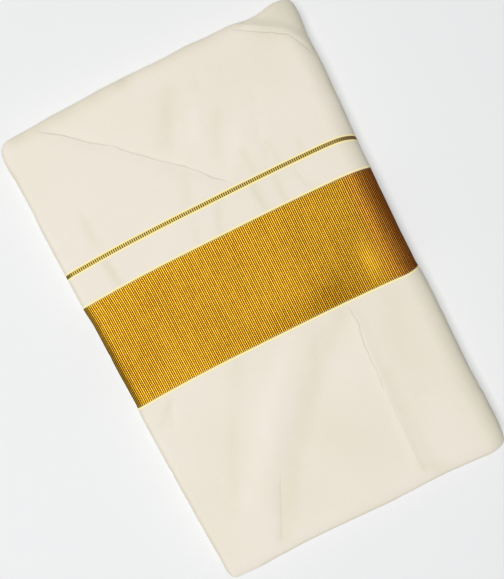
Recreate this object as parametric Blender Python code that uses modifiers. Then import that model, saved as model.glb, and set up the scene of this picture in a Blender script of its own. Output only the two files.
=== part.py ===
"""A folded kasavu saree: an off-white cotton saree with a gold zari band, lying flat as a packet.

The cloth is folded lengthwise into fourteen layers and then in four across its width. The outermost
layer is modelled as thin walls, one for each stretch of the weave that shows. The layers inside it
share one rounded solid, with their fold loops and selvedges as ridges. X runs across the packet, Y
along it and Z up. The origin is on the surface it rests on, below its centre.
"""

import math
from collections import namedtuple

import bmesh
import bpy

MM = 0.001
QUARTER_TURN = math.pi / 2

# The packet
WIDTH = 290 * MM
LENGTH = 447 * MM
THICKNESS = 30 * MM
PASS_COUNT = 4
LOOPS_PER_PASS = 7
PASS_THICKNESS = THICKNESS / PASS_COUNT
LOOP_THICKNESS = PASS_THICKNESS / LOOPS_PER_PASS
LEFT = -WIDTH / 2
RIGHT = WIDTH / 2
END = LENGTH / 2
MIDDLE = THICKNESS / 2

# The outer layer and what lies below it
WALL = 1.0 * MM
SEAM = 0.3 * MM
CORE_DEPTH = 2.0 * MM
TROUGH_ROOM = 0.5 * MM

# The edges wave, so this centres the whole packet on the origin
CENTRE_X = -0.05 * MM
CENTRE_Y = 0.55 * MM

# How far each rounded side reaches in from its edge
SPINE_REACH_BELOW = 13 * MM
SPINE_REACH_ABOVE = 23 * MM
ROLL_REACH = 9 * MM
SELVEDGE_INSET = 2.5 * MM
GROOVE_END = LEFT + 17 * MM
GROOVE_SAG = 1.1 * MM

# The rounded short ends
END_FALL = 2.6 * MM
END_FALL_LENGTH = 13 * MM
CORNER_FADE = 42 * MM
LOOP_DEPTH = 0.9 * MM
EDGE_DEPTH = 0.7 * MM

# How far a loop or a selvedge lies off its even place, and how fast that changes from layer to
# layer and along the packet
LAYER_SHIFT = 0.7 * MM
SHIFT_PER_LAYER = 2.4
SHIFT_ALONG = 20.0

# The stretches of the weave, from the lower end of the packet to its upper end
BAND_START = -37.3 * MM
BAND_END = 64.5 * MM
LINE_START = 93.9 * MM
LINE_END = 97.3 * MM

Stretch = namedtuple("Stretch", "name start end rows ease material")
STRETCHES = (
    Stretch("plain_tail", -END, BAND_START, 15, "low", "cotton"),
    Stretch("kasavu_band", BAND_START, BAND_END, 9, "even", "zari"),
    Stretch("plain_gap", BAND_END, LINE_START, 3, "even", "cotton"),
    Stretch("kasavu_line", LINE_START, LINE_END, 1, "even", "zari"),
    Stretch("plain_head", LINE_END, END, 13, "high", "cotton"),
)

# Soft folds of the top face: a ridge where the height is above zero, a trough where it is below
Fold = namedtuple("Fold", "name start_x start_y end_x end_y half_width height")
FOLDS = (
    Fold("tuck above the line", -99, 214, 20, 107, 6, -0.7),
    Fold("swell right of the tuck", -40, 194, 60, 121, 20, 0.7),
    Fold("pressed ridge near the spine", 70, -52, 60, -205, 5, 0.8),
    Fold("swell below the band", 15, -60, -92, -166, 22, 0.9),
    Fold("trough beside the swell", 42, -68, -30, -148, 17, -0.8),
    Fold("crease at the lower end", -61, -166, -82, -208, 6, -0.6),
    Fold("swell at the lower right", 30, -128, -10, -202, 24, 0.6),
    Fold("swell of the head", -95, 178, -110, 109, 26, 0.6),
    Fold("trough of the head", 20, 198, -8, 139, 14, -0.6),
    Fold("swell by the spine", 95, 188, 100, 109, 22, 0.5),
    Fold("swell across the gap", -60, 60, -30, 99, 14, 0.4),
)

# The upper end's right corner slips down beyond this crease
Crease = namedtuple("Crease", "start_x start_y end_x end_y slip width")
CORNER_CREASE = Crease(84 * MM, END, RIGHT, 181 * MM, 3.2 * MM, 12 * MM)

# The weave's crosswise lines bow towards the lower end beside each long edge, and slant a little
Bow = namedtuple("Bow", "side start reach drop")
BOWS = (
    Bow(-1, 45 * MM, 100 * MM, 3.5 * MM),
    Bow(1, 15 * MM, 105 * MM, 1.7 * MM),
    Bow(1, 108 * MM, 37 * MM, 2.2 * MM),
)
WEAVE_SLANT = 0.008

# Beside the spine the weave's crosswise lines are drawn along it, in mm, by place along the packet
SpineDraw = namedtuple("SpineDraw", "y shift")
SPINE_DRAWS = (
    SpineDraw(-130, 0.0),
    SpineDraw(-37, 3.4),
    SpineDraw(62, 0.0),
    SpineDraw(95, -2.6),
    SpineDraw(150, 0.0),
)
SPINE_DRAW_START = 122 * MM
SPINE_DRAW_REACH = RIGHT - SPINE_DRAW_START

# How far the long edges stand out from a straight line, in mm, by place along the packet
EdgeWave = namedtuple("EdgeWave", "y left right")
EDGE_WAVES = (
    EdgeWave(-226, -1.8, 1.8),
    EdgeWave(-205, -2.2, 2.2),
    EdgeWave(-170, -1.4, 1.9),
    EdgeWave(-145, -1.0, 0.3),
    EdgeWave(-120, -0.5, 0.2),
    EdgeWave(-75, 0.0, 0.2),
    EdgeWave(-48, 0.0, -0.4),
    EdgeWave(-32, -1.1, -1.9),
    EdgeWave(0, -0.7, -2.1),
    EdgeWave(45, -0.9, -1.9),
    EdgeWave(66, 0.3, -1.5),
    EdgeWave(90, 0.2, -1.6),
    EdgeWave(135, 0.3, -0.5),
    EdgeWave(165, -0.7, 0.0),
    EdgeWave(185, -0.6, -0.8),
    EdgeWave(226, 0.6, 1.4),
)

# How far the short ends stand out, in mm, by place across the packet
EndWave = namedtuple("EndWave", "x lower upper")
END_WAVES = (
    EndWave(-145, -0.2, -1.2),
    EndWave(-115, 0.8, -0.6),
    EndWave(-90, -0.1, 0.4),
    EndWave(-65, -0.8, 0.6),
    EndWave(-40, -0.7, 1.3),
    EndWave(-18, -0.2, 1.1),
    EndWave(0, 0.3, 0.6),
    EndWave(20, 1.0, 0.1),
    EndWave(40, 0.7, 0.5),
    EndWave(65, 0.2, -0.8),
    EndWave(80, 0.1, -1.0),
    EndWave(98, 0.9, -2.7),
    EndWave(108, 1.5, -2.5),
    EndWave(125, 2.5, 0.0),
    EndWave(145, 1.3, -0.9),
)

# The corners' rounding: how far each cuts in along the long edge, from how far in across
Corner = namedtuple("Corner", "side end across along")
CORNERS = (
    Corner(-1, 1, 14 * MM, 14 * MM),
    Corner(-1, -1, 8 * MM, 7 * MM),
    Corner(1, 1, 7 * MM, 10 * MM),
    Corner(1, -1, 8 * MM, 7 * MM),
)

# Steps of the mesh
UNDERSIDE_STEPS = 5
SPINE_STEPS = 10
TOP_STEPS = 24
ROLL_STEPS = 7
ROLL_TUCK = math.radians(262)
CORE_CROSSINGS = (-70 * MM, 0.0, 70 * MM, 98 * MM, 112 * MM)
CORE_ROLL_STEPS = 6

# Colours, linear
COTTON = (0.83, 0.76, 0.66)
ZARI = (0.55, 0.28, 0.023)


def clear_scene():
    """Removes every object, so that only the saree is left."""
    for obj in list(bpy.data.objects):
        bpy.data.objects.remove(obj, do_unlink=True)


def mixed(low, high, share):
    """The value this share of the way from low to high."""
    return low + (high - low) * share


def smooth(value):
    """A soft step from 0 to 1 as the value goes from 0 to 1."""
    value = min(max(value, 0.0), 1.0)
    return value * value * (3 - 2 * value)


def read_wave(table, place, column):
    """A column of a wave table, read smoothly at a place given in metres."""
    place = place / MM
    rows = [(row[0], getattr(row, column)) for row in table]
    if place <= rows[0][0]:
        return rows[0][1] * MM
    for (start, low), (end, high) in zip(rows, rows[1:]):
        if place <= end:
            return mixed(low, high, smooth((place - start) / (end - start))) * MM
    return rows[-1][1] * MM


def fold_height(x, y):
    """The height of the soft folds at a point of the top face."""
    total = 0.0
    for fold in FOLDS:
        run_x = fold.end_x - fold.start_x
        run_y = fold.end_y - fold.start_y
        off_x = x / MM - fold.start_x
        off_y = y / MM - fold.start_y
        along = (off_x * run_x + off_y * run_y) / (run_x**2 + run_y**2)
        nearest = min(max(along, 0.0), 1.0)
        away = math.hypot(off_x - nearest * run_x, off_y - nearest * run_y)
        total += fold.height * math.exp(-((away / fold.half_width) ** 2))
    return total * MM


def end_share(y):
    """How much of the thickness is left beside a short end."""
    beside = max(1 - (END - abs(y)) / END_FALL_LENGTH, 0.0)
    return 1 - END_FALL * beside**2 / THICKNESS


def corner_slip(x, y):
    """How far the upper right corner has slipped down at a point."""
    crease = CORNER_CREASE
    run_x = crease.end_x - crease.start_x
    run_y = crease.end_y - crease.start_y
    beyond = (y - crease.start_y) * run_x - (x - crease.start_x) * run_y
    return crease.slip * smooth(beyond / math.hypot(run_x, run_y) / crease.width)


def corner_cut(x, y):
    """How far a rounded corner draws the short end in at this distance across."""
    for corner in CORNERS:
        if x * corner.side < 0 or y * corner.end < 0:
            continue
        into = 1 - (WIDTH / 2 - abs(x)) / corner.across
        if into > 0:
            into = min(into, 1.0)
            return corner.along * (1 - math.sqrt(1 - into * into))
    return 0.0


def bow_drop(x):
    """How far the weave's crosswise lines have bowed and slanted at this distance across."""
    total = WEAVE_SLANT * x
    for bow in BOWS:
        into = max((x * bow.side - bow.start) / bow.reach, 0.0)
        total += bow.drop * into * into
    return total


def spine_draw(x, y):
    """How far the weave is drawn along the packet beside the spine."""
    into = max((x - SPINE_DRAW_START) / SPINE_DRAW_REACH, 0.0)
    return into * into * read_wave(SPINE_DRAWS, y, "shift")


def settled(x, y, z, rise):
    """A point of the even packet, moved to where the real cloth lies, with the top face this much higher."""
    near_end = smooth(1 - (END - abs(y)) / CORNER_FADE)
    drop = bow_drop(x) * (1 - near_end) - spine_draw(x, y)
    end_column = "upper" if y > 0 else "lower"
    draw = (read_wave(END_WAVES, x, end_column) - corner_cut(x, y)) * near_end
    edge_column = "right" if x > 0 else "left"
    side = smooth(abs(x) / (WIDTH / 2))
    spread = read_wave(EDGE_WAVES, y, edge_column) * side
    height = z * end_share(y)
    lift = smooth(z / THICKNESS)
    height += (rise * (1 - side**6) - corner_slip(x, y)) * lift
    x += math.copysign(1, x) * spread + CENTRE_X
    y += math.copysign(1, y) * draw - drop + CENTRE_Y
    return x, y, height


def spine_point(angle, depth):
    """A point on the spine, from its underside at -90 degrees to its top at 90 degrees."""
    tightness = 1 - depth / MIDDLE
    reach = SPINE_REACH_ABOVE if angle > 0 else SPINE_REACH_BELOW
    x = RIGHT - depth - reach * tightness * (1 - math.cos(angle))
    return x, MIDDLE + MIDDLE * tightness * math.sin(angle)


def roll_point(angle, depth):
    """A point on the left roll, from its top at 90 degrees round to its underside at 270."""
    tightness = 1 - depth / PASS_THICKNESS
    x = LEFT + depth + ROLL_REACH * tightness * (1 + math.cos(angle))
    return x, THICKNESS - PASS_THICKNESS * (1 - tightness * math.sin(angle))


def steps(start, end, count):
    """Count + 1 even values from start to end."""
    return [mixed(start, end, index / count) for index in range(count + 1)]


def outer_section():
    """The section of the outer layer: along the underside, round the spine, over the top and the roll."""
    spine = [spine_point(angle, 0) for angle in steps(-QUARTER_TURN, QUARTER_TURN, SPINE_STEPS)]
    roll = [roll_point(angle, 0) for angle in steps(QUARTER_TURN, ROLL_TUCK, ROLL_STEPS)]
    underside = [(x, 0.0) for x in steps(LEFT + SELVEDGE_INSET, spine[0][0], UNDERSIDE_STEPS)]
    top = [(x, THICKNESS) for x in steps(spine[-1][0], roll[0][0], TOP_STEPS)]
    return underside + spine[1:] + top[1:] + roll[1:]


def row_places(stretch):
    """Where the rows of a stretch lie along the packet, closer together beside a short end."""
    start = stretch.start + (0 if stretch.ease == "low" else SEAM / 2)
    end = stretch.end - (0 if stretch.ease == "high" else SEAM / 2)
    shares = steps(0.0, 1.0, stretch.rows)
    if stretch.ease == "low":
        return [mixed(start, end, share**1.6) for share in shares]
    if stretch.ease == "high":
        return [mixed(end, start, (1 - share) ** 1.6) for share in shares]
    return [mixed(start, end, share) for share in shares]


def new_object(name, shape, collection, material):
    """Turns a bmesh into a smooth object of the packet."""
    mesh = bpy.data.meshes.new(name)
    shape.to_mesh(mesh)
    shape.free()
    mesh.shade_smooth()
    mesh.materials.append(material)
    obj = bpy.data.objects.new(name, mesh)
    collection.objects.link(obj)
    return obj


def make_stretch(stretch, collection, material):
    """One stretch of the outer layer: a sheet bent along the section, with the wall's thickness."""
    section = outer_section()
    places = row_places(stretch)
    columns = len(section) - 1
    rows = len(places) - 1
    shape = bmesh.new()
    bmesh.ops.create_grid(shape, x_segments=columns, y_segments=rows, size=1)
    for vertex in shape.verts:
        column = round((vertex.co.x + 1) / 2 * columns)
        row = round((vertex.co.y + 1) / 2 * rows)
        x, z = section[column]
        vertex.co = settled(x, places[row], z, fold_height(x, places[row]))
    bmesh.ops.reverse_faces(shape, faces=shape.faces)
    obj = new_object(stretch.name, shape, collection, material)
    wall = obj.modifiers.new("Wall", "SOLIDIFY")
    wall.thickness = WALL
    wall.offset = -1
    wall.use_even_offset = True


def core_section(share):
    """The line that one layer of the hidden cloth follows, at a share of the pass's thickness.

    It runs from the lower selvedge along the underside, round the spine, over the top, round the
    roll, and back inside to the upper selvedge.
    """
    outer = mixed(CORE_DEPTH, PASS_THICKNESS, share)
    inner = PASS_THICKNESS * share
    inner_spine = MIDDLE - inner
    selvedge = LEFT + SELVEDGE_INSET
    line = [(selvedge, outer), (GROOVE_END, outer)]
    line += [(x, outer) for x in CORE_CROSSINGS]
    line += [spine_point(angle, outer) for angle in steps(-QUARTER_TURN, QUARTER_TURN, SPINE_STEPS)]
    line += [(x, THICKNESS - outer) for x in reversed(CORE_CROSSINGS)]
    line += [(GROOVE_END, THICKNESS - outer)]
    turns = steps(QUARTER_TURN, 3 * QUARTER_TURN, CORE_ROLL_STEPS)
    line += [roll_point(angle, outer) for angle in turns]
    line += [(GROOVE_END, MIDDLE + inner)]
    line += [(x, MIDDLE + inner) for x in CORE_CROSSINGS]
    turns = steps(QUARTER_TURN, -QUARTER_TURN, SPINE_STEPS)
    line += [spine_point(angle, inner_spine) for angle in turns]
    line += [(x, inner_spine) for x in reversed(CORE_CROSSINGS)]
    line += [(GROOVE_END, inner_spine), (selvedge, inner_spine)]
    return line


def core_places():
    """Where the hidden layers' sections lie along the packet: by each end and at each edge wave."""
    rows = row_places(STRETCHES[0]) + row_places(STRETCHES[-1])
    by_the_ends = [row for row in rows if abs(row) > END - CORNER_FADE]
    between = [wave.y * MM for wave in EDGE_WAVES if abs(wave.y * MM) < END - CORNER_FADE]
    return sorted(by_the_ends + between)


def make_core(collection, material):
    """The hidden layers: the folded section, welded where its passes touch, drawn along the packet."""
    depth_steps = 2 * LOOPS_PER_PASS
    lines = [core_section(share) for share in steps(0.0, 1.0, depth_steps)]
    stations = len(lines[0]) - 1
    shape = bmesh.new()
    bmesh.ops.create_grid(shape, x_segments=stations, y_segments=depth_steps, size=1)
    ridge = shape.verts.layers.float.new("ridge")
    edge = shape.verts.layers.float.new("edge")
    for vertex in shape.verts:
        station = round((vertex.co.x + 1) / 2 * stations)
        level = round((vertex.co.y + 1) / 2 * depth_steps)
        x, z = lines[level][station]
        vertex.co = (x, -END, z)
        vertex[ridge] = level % 2
        vertex[edge] = 1.0 if station in (0, stations) else 0.0
    bmesh.ops.remove_doubles(shape, verts=shape.verts, dist=0.01 * MM)
    places = core_places()
    last = shape.faces[:]
    for start, end in zip(places, places[1:]):
        rims = list({rim for face in last for rim in face.edges})
        grown = bmesh.ops.extrude_face_region(shape, geom=last + rims)["geom"]
        last = [item for item in grown if isinstance(item, bmesh.types.BMFace)]
        verts = [item for item in grown if isinstance(item, bmesh.types.BMVert)]
        bmesh.ops.translate(shape, verts=verts, vec=(0, end - start, 0))
    for vertex in shape.verts:
        layer_edges(vertex, vertex[ridge], vertex[edge])
    bmesh.ops.recalc_face_normals(shape, faces=shape.faces)
    return new_object("folded_layers", shape, collection, material)


def layer_edges(vertex, ridge, edge):
    """Moves a point of the hidden layers to its place, with the loops and selvedges as ridges."""
    x, y, z = vertex.co
    layer = z / LOOP_THICKNESS
    shift = LAYER_SHIFT * (1 + math.sin(SHIFT_PER_LAYER * layer + SHIFT_ALONG * (x + y))) / 2
    if abs(abs(y) - END) < MM / 10:
        y = math.copysign(END - WALL - LOOP_DEPTH * (1 - ridge) - shift, y)
    if edge:
        x += EDGE_DEPTH * (1 - ridge) + 2 * shift
    if z < MIDDLE + MM / 10 and x < GROOVE_END - MM / 10:
        z -= GROOVE_SAG * z / MIDDLE * smooth((GROOVE_END - x) / (GROOVE_END - LEFT))
    vertex.co = settled(x, y, z, -TROUGH_ROOM)


def new_material(name, colour, roughness, metallic):
    """A plain Principled material."""
    material = bpy.data.materials.new(name)
    material.use_nodes = True
    material.diffuse_color = (*colour, 1.0)
    surface = material.node_tree.nodes["Principled BSDF"]
    surface.inputs["Base Color"].default_value = (*colour, 1.0)
    surface.inputs["Roughness"].default_value = roughness
    surface.inputs["Metallic"].default_value = metallic
    return material


def main():
    clear_scene()
    collection = bpy.data.collections.new("folded_kasavu_saree")
    bpy.context.scene.collection.children.link(collection)
    for stretch in STRETCHES:
        if stretch.material == "zari":
            material = new_material(stretch.name, ZARI, 0.45, 0.6)
        else:
            material = new_material(stretch.name, COTTON, 0.9, 0.0)
        make_stretch(stretch, collection, material)
    make_core(collection, new_material("folded_layers", COTTON, 0.9, 0.0))


main()
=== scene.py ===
"""A folded kasavu saree in full dress: its cloth with creases, its fold loops, selvedges and weave.

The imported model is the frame. The five stretches of the outer layer are laid as thin cloth on the
form of the CAD walls, and the hidden layers get their fold loops and selvedge edges.
"""

import math
from collections import namedtuple
from functools import partial

import bmesh
import bpy
import numpy as np
from bpy.props import FloatProperty, FloatVectorProperty, IntProperty, PointerProperty
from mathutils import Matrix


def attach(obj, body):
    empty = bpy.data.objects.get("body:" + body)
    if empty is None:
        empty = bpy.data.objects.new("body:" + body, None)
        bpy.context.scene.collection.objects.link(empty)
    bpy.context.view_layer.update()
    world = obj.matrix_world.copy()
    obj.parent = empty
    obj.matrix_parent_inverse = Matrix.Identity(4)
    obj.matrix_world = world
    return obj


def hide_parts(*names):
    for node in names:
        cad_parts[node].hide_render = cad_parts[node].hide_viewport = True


bl_info = {
    "name": "Folded Kasavu Saree",
    "version": (1, 0, 0),
    "blender": (4, 5, 0),
    "location": "3D View > Sidebar > Saree",
    "description": "Lays a folded kasavu saree as a packet, with its weave, folds and studio",
    "category": "Add Mesh",
}

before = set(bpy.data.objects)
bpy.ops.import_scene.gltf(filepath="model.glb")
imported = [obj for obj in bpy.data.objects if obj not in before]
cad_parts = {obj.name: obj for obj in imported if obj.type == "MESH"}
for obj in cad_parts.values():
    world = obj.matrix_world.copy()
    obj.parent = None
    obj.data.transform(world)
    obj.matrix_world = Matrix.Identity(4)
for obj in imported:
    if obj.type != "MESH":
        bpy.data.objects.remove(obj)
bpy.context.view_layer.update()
MM = 0.001
QUARTER_TURN = math.pi / 2

# The packet, as in the CAD model
WIDTH = 290 * MM
LENGTH = 447 * MM
THICKNESS = 30 * MM
PASS_COUNT = 4
LOOPS_PER_PASS = 7
PASS_THICKNESS = THICKNESS / PASS_COUNT
# Each loop holds two layers, and two of the passes lie below the groove
LAYERS_BELOW_GROOVE = 2 * 2 * LOOPS_PER_PASS
LEFT = -WIDTH / 2
RIGHT = WIDTH / 2
END = LENGTH / 2
MIDDLE = THICKNESS / 2
CENTRE_X = -0.05 * MM
CENTRE_Y = 0.55 * MM
SPINE_REACH_BELOW = 13 * MM
SPINE_REACH_ABOVE = 23 * MM
ROLL_REACH = 9 * MM
SELVEDGE_INSET = 2.5 * MM
GROOVE_END = LEFT + 17 * MM
GROOVE_SAG = 1.1 * MM
END_FALL = 2.6 * MM
END_FALL_LENGTH = 13 * MM
END_TURN = 0.8 * MM
END_TURN_LENGTH = 3.6 * MM
CORNER_FADE = 42 * MM
ROLL_TUCK = math.radians(262)

# The runs of the outer layer's section, and how far apart the mesh lines lie where that is not the step
UNDER_RUN = 270 * MM
SPINE_RUN = 52 * MM
TOP_RUN = 258 * MM
ROLL_RUN = 25 * MM
GROOVE_RUN = 7 * MM
UNDER_STEP = 4 * MM
GROOVE_STEP = 1.4 * MM
SPINE_FINENESS = 0.8
ROLL_FINENESS = 0.7

# The mesh rows of the outer layer's end folds, how deep the underside's creases stay, and the shortest
# stretch that counts as a sheet
CURL_STEPS = 8
TUCK_SHARES = (0.3, 0.6, 1.0)
UNDER_CREASE_SHARE = 0.8

# The hidden layers stop short of their drawn edges at the short ends and below the groove. Points of
# their CAD mesh this close together are one.
DOUBLES_APART = 0.01 * MM
HIDDEN_INSET = 2 * MM
HIDDEN_FADE = 20 * MM
SELVEDGES_TOP = MIDDLE - 0.3 * MM
SELVEDGES_SIDE = LEFT + 12 * MM

# The lines of the fold loops: their points, where they start and end, and how they wave. Below the
# last height they stay level.
RUN_POINTS = 44
SPINE_POINTS = 34
ROLL_POINTS = 22
LOOP_START = 2.5 * MM
LOOP_INSET = 0.15 * MM
LOOP_WAVE_LENGTH = 45 * MM
LOOPS_APART = 40
FLAT_UNDERSIDE = 1.5 * MM

# The lines of the selvedges. In mm: how far each stops short of the ends, and its corner's radius,
# as the least and what chance adds
SHORTFALL = 0.5
SHORTFALL_SPREAD = 0.9
CORNER_RADIUS = 1.2
CORNER_RADIUS_SPREAD = 1.4
CORNER_RUN = np.array([1, 2.5, 4, 6]) * MM
SELVEDGE_PROUD = 1.0 * MM
SELVEDGE_POINTS = 126
SELVEDGE_WAVE_LENGTH = 70 * MM
SELVEDGE_SEED = 9
CORNER_POINTS = 5

# The drawn edges: how far apart the layers read their noise, where the handles of an edge's nose lie
# as a share of its depth, and the nose's mesh steps
NOISE_APART = 7.3
NOSE = -0.33
NOSE_STEPS = 7

# The stretches of the weave, from the lower end of the packet to its upper end
BAND_START = -37.3 * MM
BAND_END = 64.5 * MM
LINE_START = 93.9 * MM
LINE_END = 97.3 * MM

Stretch = namedtuple("Stretch", "name start end slot with_pieces")
PLAIN_STRETCHES = (
    Stretch("plain_tail", -END, BAND_START, "cotton", ("lower_fold_loops", "lower_selvedges")),
    Stretch("plain_gap", BAND_END, LINE_START, "cotton", ("kasavu_line_cloth",)),
    Stretch("plain_head", LINE_END, END, "cotton", ("upper_fold_loops",)),
)
ZARI_STRETCHES = (
    Stretch("kasavu_band", BAND_START, BAND_END, "zari", ()),
    Stretch("kasavu_line", LINE_START, LINE_END, "zari", ()),
)

# The broad soft folds of the top face, as in the CAD model, in mm: the places that each passes through,
# its half width and its height
FOLDS = (
    # Tuck above the line, and the swell right of it
    (((-99, 214), (20, 107)), 6, -0.7),
    (((-40, 194), (60, 121)), 20, 0.7),
    # Pressed ridge near the spine
    (((70, -52), (60, -205)), 5, 0.8),
    # Swell below the band, the trough beside it, the lower crease and the lower right swell
    (((15, -60), (-92, -166)), 22, 0.9),
    (((42, -68), (-30, -148)), 17, -0.8),
    (((-61, -166), (-82, -208)), 6, -0.6),
    (((30, -128), (-10, -202)), 24, 0.6),
    # Swell and trough of the head, and the swell by the spine
    (((-95, 178), (-110, 109)), 26, 0.6),
    (((20, 198), (-8, 139)), 14, -0.6),
    (((95, 188), (100, 109)), 22, 0.5),
    # Swell across the gap
    (((-60, 60), (-30, 99)), 14, 0.4),
)

# The upper end's right corner slips down beyond this crease
CORNER_CREASE = ((84 * MM, END), (RIGHT, 181 * MM))
CORNER_SLIP = 3.2 * MM
CORNER_SLIP_WIDTH = 12 * MM

# The weave's crosswise lines bow towards the lower end beside each long edge, and slant a little: the
# side, how far out a bow starts, its reach and its drop
BOWS = (
    (-1, 45 * MM, 100 * MM, 3.5 * MM),
    (1, 15 * MM, 105 * MM, 1.7 * MM),
    (1, 108 * MM, 37 * MM, 2.2 * MM),
)
WEAVE_SLANT = 0.008

# Beside the spine the weave's crosswise lines are drawn along it, in mm: place along the packet, shift
SPINE_DRAWS = ((-130, 0.0), (-37, 3.4), (62, 0.0), (95, -2.6), (150, 0.0))
SPINE_DRAW_START = 122 * MM
SPINE_DRAW_REACH = RIGHT - SPINE_DRAW_START

# How far the long edges stand out, in mm: place along the packet, left edge, right edge
EDGE_WAVES = (
    (-226, -1.8, 1.8),
    (-205, -2.2, 2.2),
    (-170, -1.4, 1.9),
    (-145, -1.0, 0.3),
    (-120, -0.5, 0.2),
    (-75, 0.0, 0.2),
    (-48, 0.0, -0.4),
    (-32, -1.1, -1.9),
    (0, -0.7, -2.1),
    (45, -0.9, -1.9),
    (66, 0.3, -1.5),
    (90, 0.2, -1.6),
    (135, 0.3, -0.5),
    (165, -0.7, 0.0),
    (185, -0.6, -0.8),
    (226, 0.6, 1.4),
)

# How far the short ends stand out, in mm: place across the packet, lower end, upper end
END_WAVES = (
    (-145, -0.2, -1.2),
    (-115, 0.8, -0.6),
    (-90, -0.1, 0.4),
    (-65, -0.8, 0.6),
    (-40, -0.7, 1.3),
    (-18, -0.2, 1.1),
    (0, 0.3, 0.6),
    (20, 1.0, 0.1),
    (40, 0.7, 0.5),
    (65, 0.2, -0.8),
    (80, 0.1, -1.0),
    (98, 0.9, -2.7),
    (108, 1.5, -2.5),
    (125, 2.5, 0.0),
    (145, 1.3, -0.9),
)

# The corners' rounding: the side, the end, how far in across it starts and how far in along it cuts
CORNERS = (
    (-1, 1, 14 * MM, 14 * MM),
    (-1, -1, 8 * MM, 7 * MM),
    (1, 1, 7 * MM, 10 * MM),
    (1, -1, 8 * MM, 7 * MM),
)

# Creases, in mm: the places that each passes through, its half width and its height.
# Places are measured across the cloth, as X on the top face and on round the spine and the roll.
CREASES = (
    # Hollow and lip of the tuck
    (((-108, 220), (-87, 204), (-54, 176), (-22, 146), (3, 124), (19, 107)), 1.8, -0.14),
    (((-70, 184), (-48, 165), (-25, 144), (-6, 127), (17, 103)), 3.0, 0.08),
    # Rise of the pressed crease, and the hollow beside it
    (((68, -44), (66, -90), (63, -140), (61, -182), (62, -214)), 2.4, 0.12),
    (((73, -42), (71, -80), (68, -136), (66, -184), (66, -210)), 2.4, -0.08),
    # Lower crease, and the rise beside it
    (((-58, -158), (-68, -178), (-78, -196), (-85, -214)), 2.0, -0.2),
    (((-64, -164), (-75, -188), (-90, -212)), 2.6, 0.12),
    # Crease of the upper right corner, and the rise beyond it
    (((81, 221), (100, 209), (114, 201), (126, 194), (136, 182), (143, 168)), 1.8, -0.4),
    (((92, 221), (110, 209), (128, 198)), 1.6, 0.3),
    # Streaks of the head
    (((12, 199), (-3, 155), (-22, 122)), 6.0, -0.4),
    (((46, 208), (36, 179), (22, 150)), 6.0, -0.35),
    (((80, 172), (72, 148), (64, 128)), 5.0, -0.3),
    # Dimples by the line
    (((-101, 148), (-105, 130), (-105, 108)), 3.6, -0.4),
    (((42, 136), (40, 120), (42, 102)), 3.0, -0.3),
    (((66, 136), (64, 120), (65, 103)), 3.4, -0.4),
    # Pulls above the band
    (((-103, 93), (-102, 80), (-103, 66)), 3.2, -0.42),
    (((6, 92), (2, 80), (-4, 67)), 3.0, -0.36),
    (((41, 92), (42, 80), (42, 66)), 2.8, -0.42),
    (((63, 91), (62, 80), (61, 68)), 2.6, -0.3),
    (((80, 91), (83, 80), (86, 68)), 2.4, -0.3),
    # Pulls below the band
    (((-112, -42), (-116, -58), (-124, -74)), 3.4, -0.45),
    (((46, -42), (34, -56), (14, -76)), 5.0, -0.4),
    # Hollow and swell of the tail, the hollow by the roll and the slack by the spine
    (((50, -48), (22, -67), (-2, -96), (-36, -135), (-60, -164)), 9.0, -0.6),
    (((-2, -50), (-36, -106), (-92, -186)), 14.0, 0.7),
    (((-108, -120), (-114, -150), (-112, -172)), 7.0, -0.4),
    (((96, -60), (88, -120), (92, -190)), 12.0, -0.4),
    # Pulls and long lines of the spine
    (((118, 152), (132, 140), (150, 134)), 3.0, -0.35),
    (((112, -66), (130, -78), (156, -82)), 3.4, -0.35),
    (((120, -150), (140, -158), (164, -170)), 4.0, -0.4),
    (((146, 190), (149, 60), (145, -60), (148, -190)), 3.0, -0.3),
    (((162, 120), (160, 10), (163, -96)), 3.0, -0.3),
    # Tucks, pull and line of the underside
    (((240, 160), (290, 90), (352, 28)), 2.6, -0.5),
    (((262, -60), (300, -130), (318, -196)), 2.4, -0.45),
    (((196, 30), (222, -24), (230, -80)), 4.0, -0.3),
    (((380, 180), (372, 60), (384, -50)), 3.0, -0.3),
    # Pulls round the roll
    (((-130, 24), (-146, 16), (-158, 12)), 2.6, -0.25),
    (((-128, -96), (-144, -104), (-156, -112)), 3.0, -0.3),
    (((-126, 148), (-142, 158), (-156, 162)), 2.6, -0.25),
)

# Crisp lines pressed into the cloth, in mm: the places, how far each wanders and its strength, which is
# above zero for a groove and below zero for a ridge
PRESSED_LINES = (
    # Tuck
    (
        ((-110, 222), (-100, 212), (-87, 203), (-70, 187), (-54, 176), (-43, 165))
        + ((-22, 146), (-5, 132), (3, 124), (11, 114), (19, 107), (27, 99)),
        0.2,
        1.0,
    ),
    # Pressed crease near the spine: a groove, and a ridge further down
    (((69, -38), (69, -61), (66, -72), (65, -89), (64, -104), (64, -118), (63, -128)), 0.9, 0.9),
    (((63, -122), (62, -146), (62, -170), (61, -190), (62, -219)), 0.8, -1.6),
    # Lower crease
    (((-54, -150), (-61, -162), (-68, -178), (-73, -187), (-78, -197), (-86, -214)), 0.3, 0.45),
    # Crease and ridge of the upper right corner
    (((80, 221), (90, 215), (107, 205), (126, 194), (135, 183), (141, 170)), 0.5, 0.8),
    (((90, 222), (104, 213), (118, 205), (131, 196)), 0.4, -0.8),
    # Tucks of the underside
    (((236, 166), (290, 92), (356, 24)), 0.4, 0.9),
    (((262, -56), (300, -130), (320, -200)), 0.5, 0.8),
)
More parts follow.
